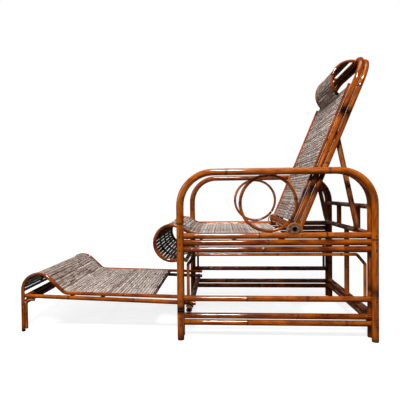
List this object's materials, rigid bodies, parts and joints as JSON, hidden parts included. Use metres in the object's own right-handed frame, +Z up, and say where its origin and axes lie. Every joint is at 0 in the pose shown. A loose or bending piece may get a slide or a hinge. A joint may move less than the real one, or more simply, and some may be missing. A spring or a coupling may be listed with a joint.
{
  "type": "folding recliner",
  "caption": "Bent-pole bamboo recliner with a slatted seat, a reclining slatted back with a headrest roll and a rear prop, and a slatted footrest that slides out from under the seat.",
  "frame": {"origin": "centre of the overall box on the floor, at rest with the footrest out and the back upright", "axes": "+X towards the sitter's left, +Y from the foot end to the head end, +Z up"},
  "size_m": [0.6504, 1.3992, 1.0896],
  "materials": {
    "amber_poles": "glossy amber lacquer on heat-bent poles, darker below and at the joints",
    "pale_slats": "worn satin lacquer on pale split slats",
    "battens": "dark stained split strips",
    "nail_heads": "darkened round nail heads"
  },
  "bodies": {
    "base": {"frame_nails": "nail_heads", "left_arm_ring": "amber_poles", "left_fret_pole": "amber_poles", "left_inner_hoop": "amber_poles", "left_lower_rail_bottom": "amber_poles", "left_lower_rail_top": "amber_poles", "left_middle_rail": "amber_poles", "left_outer_hoop": "amber_poles", "left_pivot_strap": "amber_poles", "left_seat_pole": "amber_poles", "left_seat_rail_lower": "amber_poles", "left_seat_rail_middle": "amber_poles", "left_seat_rail_upper": "amber_poles", "rear_centre_post": "amber_poles", "rear_lower_bars": "amber_poles", "rear_seat_bar": "amber_poles", "rear_top_bar": "amber_poles", "rear_top_posts": "amber_poles", "right_arm_ring": "amber_poles", "right_fret_pole": "amber_poles", "right_inner_hoop": "amber_poles", "right_lower_rail_bottom": "amber_poles", "right_lower_rail_top": "amber_poles", "right_middle_rail": "amber_poles", "right_outer_hoop": "amber_poles", "right_pivot_strap": "amber_poles", "right_seat_pole": "amber_poles", "right_seat_rail_lower": "amber_poles", "right_seat_rail_middle": "amber_poles", "right_seat_rail_upper": "amber_poles", "scroll_bar": "amber_poles", "scroll_slats": "pale_slats", "seat_battens": "battens", "seat_cross_bars": "amber_poles", "seat_slats": "pale_slats"},
    "footrest": {"footrest_battens": "battens", "footrest_cross_bars": "amber_poles", "footrest_front_bars": "amber_poles", "footrest_hump_slats": "pale_slats", "footrest_slats": "pale_slats", "footrest_slide_bar": "amber_poles", "left_footrest_brace": "amber_poles", "left_footrest_low_rail": "amber_poles", "left_footrest_pole": "amber_poles", "right_footrest_brace": "amber_poles", "right_footrest_low_rail": "amber_poles", "right_footrest_pole": "amber_poles", "slide_bar_loops": "amber_poles"},
    "back": {"back_battens": "battens", "back_cover_poles": "amber_poles", "back_front_hoop": "amber_poles", "back_rear_hoop": "amber_poles", "back_slats": "pale_slats", "headrest_rings": "amber_poles", "headrest_slats": "pale_slats", "pivot_pole": "amber_poles", "prop_hinge_pole": "amber_poles"},
    "prop": {"prop": "amber_poles"}
  },
  "joints": [
    {"name": "footrest_slide", "type": "slide", "parent": "base", "child": "footrest", "axis": [0, 1, 0], "range_m": [0, 0.64]},
    {"name": "back_recline", "type": "hinge", "parent": "base", "child": "back", "pos_m": [0, 0.38341, 0.411], "axis": [-1, 0, 0], "range_deg": [0, 41.2]},
    {"name": "prop_fold", "type": "hinge", "parent": "back", "child": "prop", "pos_m": [0, 0.56191, 0.76775], "axis": [-1, 0, 0], "range_deg": [0, 34.46]}
  ],
  "couplings": [
    {"joint": "prop_fold", "follows": "back_recline", "ratio": 0.83571}
  ]
}
